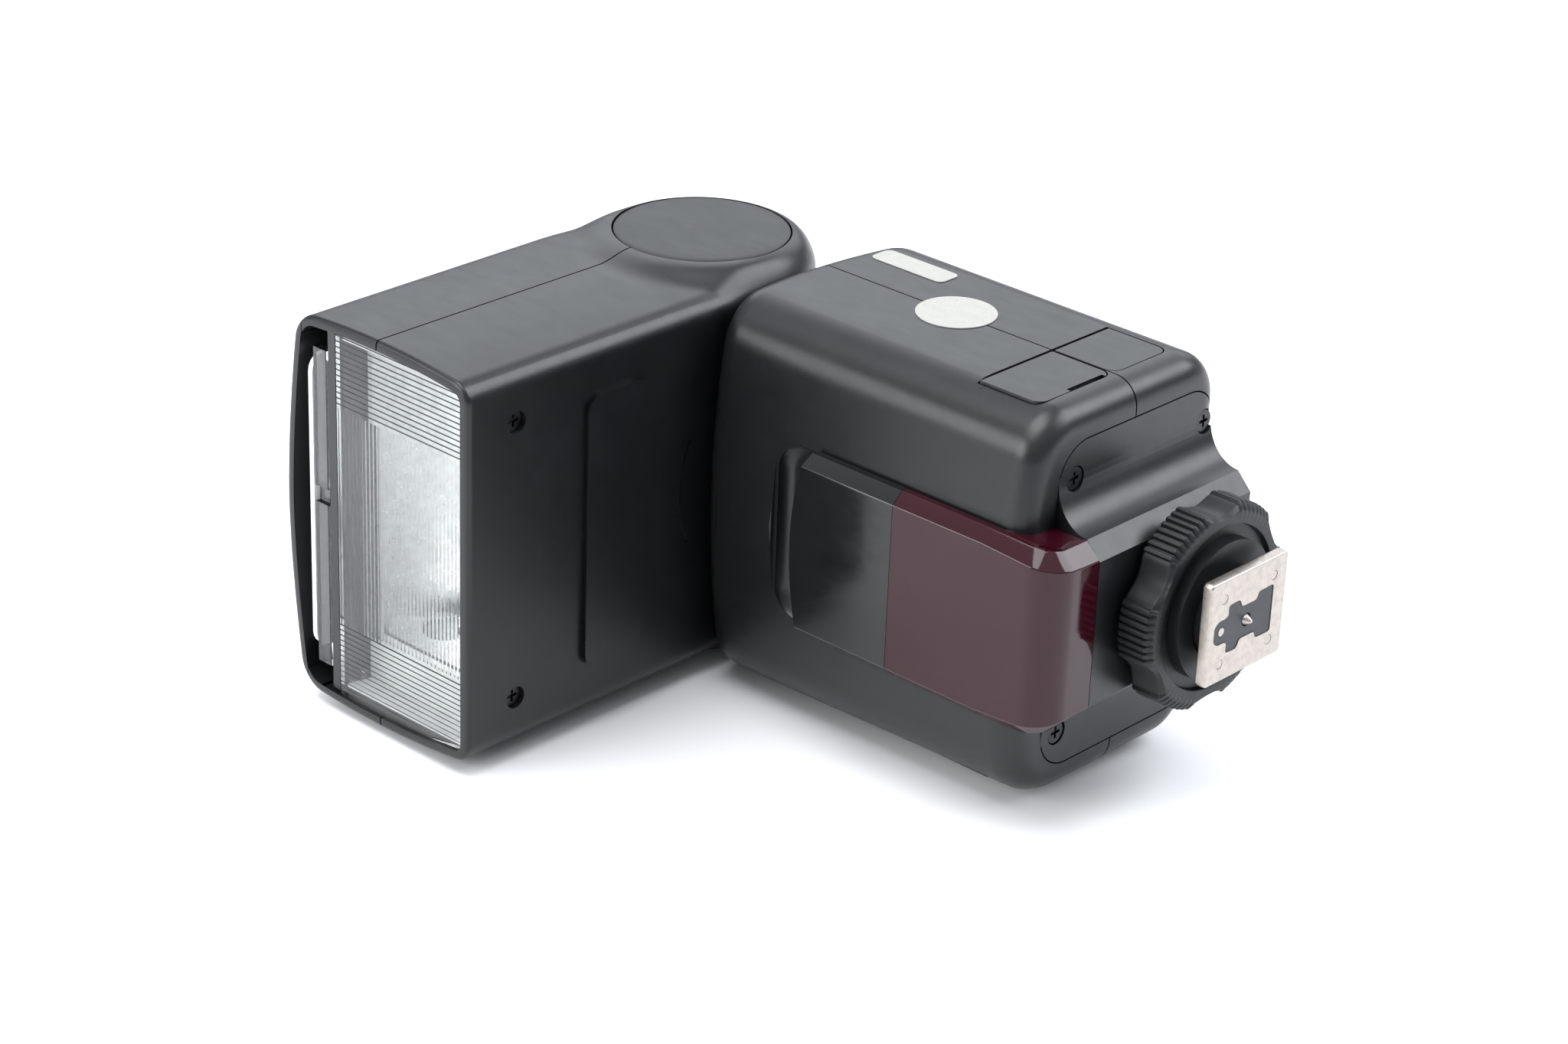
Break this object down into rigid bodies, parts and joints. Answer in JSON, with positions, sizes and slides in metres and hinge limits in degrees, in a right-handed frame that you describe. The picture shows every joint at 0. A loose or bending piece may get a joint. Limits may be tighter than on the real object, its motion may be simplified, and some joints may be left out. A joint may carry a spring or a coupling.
{
  "type": "speedlight flash",
  "caption": "Shoe-mount camera flash with a tilting, swivelling head, ribbed lens, pull-out panels, red sensor window and knurled shoe lock ring.",
  "frame": {"origin": "centre of the outer face of the shoe foot; the flash lies on its right side", "axes": "+X out of the foot, away from the flash; -Y the way the lens points; +Z out of the flash's left side, up as it lies"},
  "size_m": [0.1427, 0.1048, 0.075],
  "materials": {
    "shell_plastic": "satin fine-textured ABS",
    "cap_plastic": "matte speckled",
    "gloss_panel": "polished",
    "red_window": "translucent dark red",
    "sensor_glass": "glossy",
    "nickel": "satin nickel",
    "insert_plastic": "satin grey",
    "ring_plastic": "matte",
    "screw_steel": "black oxide",
    "axle_steel": "ground",
    "bearing_plastic": "natural acetal",
    "spring_brass": "plain",
    "jack_plastic": "moulded",
    "cell_can": "wrapped can",
    "board": "solder-masked board",
    "component": "sleeved",
    "winding": "wound",
    "led": "clear epoxy",
    "button_plastic": "satin",
    "test_plastic": "translucent red",
    "sticker_paper": "blank paper label",
    "lens_clear": "ribbed clear",
    "tube_glass": "clear quartz",
    "mirror_metal": "polished",
    "silicone": "soft",
    "tray_plastic": "matte",
    "panel_clear": "clear",
    "card_white": "matte white"
  },
  "bodies": {
    "body": {"front_shell": "shell_plastic", "rear_shell": "shell_plastic", "foot_cover": "shell_plastic", "foot_cover_screws": "screw_steel", "front_panel": "gloss_panel", "sensor_window": "red_window", "slave_sensor": "sensor_glass", "assist_lamp": "sensor_glass", "hot_shoe_plate": "nickel", "shoe_insert": "insert_plastic", "shoe_rivets": "nickel", "shoe_stem": "ring_plastic", "contact_spring": "spring_brass", "sync_jack": "jack_plastic", "power_jack": "jack_plastic", "port_cover_pins": "screw_steel", "battery_holder": "jack_plastic", "battery_cells": "cell_can", "cell_springs": "spring_brass", "main_board": "board", "tact_switches": "component", "main_capacitor": "component", "transformer": "winding", "trigger_coil": "winding", "control_panel": "gloss_panel", "level_leds": "led", "ready_lamp": "led", "swivel_socket": "bearing_plastic", "round_sticker": "sticker_paper", "long_sticker": "sticker_paper"},
    "neck": {"neck_turret": "shell_plastic", "tilt_axle": "axle_steel", "swivel_retainer": "axle_steel"},
    "head": {"head_lower_shell": "shell_plastic", "head_upper_shell": "shell_plastic", "head_top_cover": "shell_plastic", "hinge_cap_left": "cap_plastic", "hinge_cap_right": "cap_plastic", "tilt_bearings": "bearing_plastic", "head_screws": "screw_steel", "fresnel_lens": "lens_clear", "reflector": "mirror_metal", "flash_tube": "tube_glass", "tube_holders": "silicone", "panel_tray": "tray_plastic"},
    "wide_panel": {"wide_panel": "panel_clear"},
    "bounce_card": {"bounce_card": "card_white"},
    "lock_ring": {"lock_ring": "ring_plastic"},
    "clamp_disc": {"clamp_disc": "ring_plastic"},
    "locking_pin": {"locking_pin": "nickel"},
    "centre_contact": {"centre_contact": "nickel"},
    "test_button": {"test_button": "test_plastic"},
    "mode_button": {"mode_button": "button_plastic"},
    "plus_button": {"plus_button": "button_plastic"},
    "minus_button": {"minus_button": "button_plastic"},
    "power_switch": {"power_switch": "button_plastic"},
    "sync_port_cover": {"sync_port_cover": "shell_plastic"},
    "power_port_cover": {"power_port_cover": "shell_plastic"},
    "battery_door": {"battery_door": "shell_plastic"},
    "door_carriage": {"door_carriage": "screw_steel"}
  },
  "joints": [
    {"name": "head_swivel", "type": "hinge", "parent": "body", "child": "neck", "pos_m": [-0.0954, -0.01, 0], "axis": [-1, 0, 0], "range_deg": [-180, 90]},
    {"name": "head_tilt", "type": "hinge", "parent": "neck", "child": "head", "pos_m": [-0.1162, -0.01, 0], "axis": [0, 0, -1], "range_deg": [0, 90]},
    {"name": "wide_panel_slide", "type": "slide", "parent": "head", "child": "wide_panel", "axis": [0, -1, 0], "range_m": [0, 0.038]},
    {"name": "bounce_card_slide", "type": "slide", "parent": "head", "child": "bounce_card", "axis": [0, -1, 0], "range_m": [0, 0.045]},
    {"name": "clamp_slide", "type": "slide", "parent": "body", "child": "clamp_disc", "axis": [1, 0, 0], "range_m": [0, 0.0012]},
    {"name": "lock_ring_turn", "type": "hinge", "parent": "clamp_disc", "child": "lock_ring", "pos_m": [-0.009, 0, 0], "axis": [1, 0, 0], "range_deg": [0, 270]},
    {"name": "locking_pin_slide", "type": "slide", "parent": "body", "child": "locking_pin", "axis": [1, 0, 0], "range_m": [0, 0.0015]},
    {"name": "contact_press", "type": "slide", "parent": "body", "child": "centre_contact", "axis": [-1, 0, 0], "range_m": [0, 0.0006], "stiffness_N_per_m": 300, "springref_m": -0.001},
    {"name": "power_switch_slide", "type": "slide", "parent": "body", "child": "power_switch", "axis": [0, 0, 1], "range_m": [0, 0.004]},
    {"name": "sync_cover_swing", "type": "hinge", "parent": "body", "child": "sync_port_cover", "pos_m": [-0.04, -0.0131, 0.0345], "axis": [0, -1, 0], "range_deg": [0, 90]},
    {"name": "power_cover_swing", "type": "hinge", "parent": "body", "child": "power_port_cover", "pos_m": [-0.04, 0.0037, 0.0345], "axis": [0, -1, 0], "range_deg": [0, 90]},
    {"name": "door_slide", "type": "slide", "parent": "body", "child": "door_carriage", "axis": [1, 0, 0], "range_m": [0, 0.004]},
    {"name": "door_swing", "type": "hinge", "parent": "door_carriage", "child": "battery_door", "pos_m": [-0.033, -0.006, -0.0342], "axis": [0, -1, 0], "range_deg": [0, 100]},
    {"name": "test_press", "type": "slide", "parent": "body", "child": "test_button", "axis": [0, -1, 0], "range_m": [0, 0.0008], "stiffness_N_per_m": 300, "springref_m": -0.001},
    {"name": "mode_press", "type": "slide", "parent": "body", "child": "mode_button", "axis": [0, -1, 0], "range_m": [0, 0.0008], "stiffness_N_per_m": 300, "springref_m": -0.001},
    {"name": "plus_press", "type": "slide", "parent": "body", "child": "plus_button", "axis": [0, -1, 0], "range_m": [0, 0.0008], "stiffness_N_per_m": 300, "springref_m": -0.001},
    {"name": "minus_press", "type": "slide", "parent": "body", "child": "minus_button", "axis": [0, -1, 0], "range_m": [0, 0.0008], "stiffness_N_per_m": 300, "springref_m": -0.001}
  ],
  "couplings": [
    {"joint": "clamp_slide", "follows": "lock_ring_turn", "m_per_rad": 0.0002546},
    {"joint": "locking_pin_slide", "follows": "lock_ring_turn", "m_per_rad": 0.000318}
  ]
}
